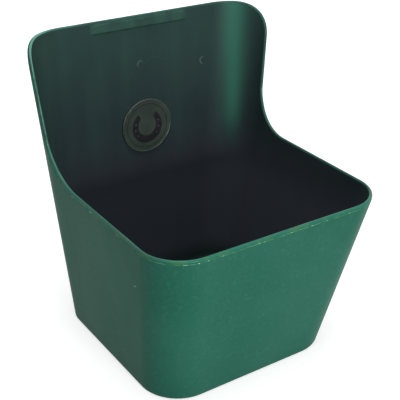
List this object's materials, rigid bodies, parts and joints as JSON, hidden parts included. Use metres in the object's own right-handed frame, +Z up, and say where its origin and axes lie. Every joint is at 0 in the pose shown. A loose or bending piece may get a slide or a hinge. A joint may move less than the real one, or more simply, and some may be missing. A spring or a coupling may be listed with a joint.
{
  "type": "feed trough",
  "caption": "High-back feed trough: tapered tub with rounded corners and rim, a flat back wall that rises into a winged splash back, and a round badge.",
  "frame": {"origin": "on the ground under the middle of the part's box: bottom centre", "axes": "+Z up, +Y out of the flat back, -Y to the front, +X to the right seen from the front"},
  "size_m": [0.3584, 0.3304, 0.4135],
  "materials": {
    "shell_green": "moulded, slightly hazy, faint vertical scuffs",
    "adhesive_pad": "closed-cell foam with glue on both faces",
    "badge_rim": "satin, with a bright worn edge",
    "badge_print": null
  },
  "bodies": {
    "root": {"trough_shell": "shell_green", "badge_adhesive": "adhesive_pad", "badge_plate": "badge_rim", "badge_face": "badge_print"}
  },
  "joints": []
}
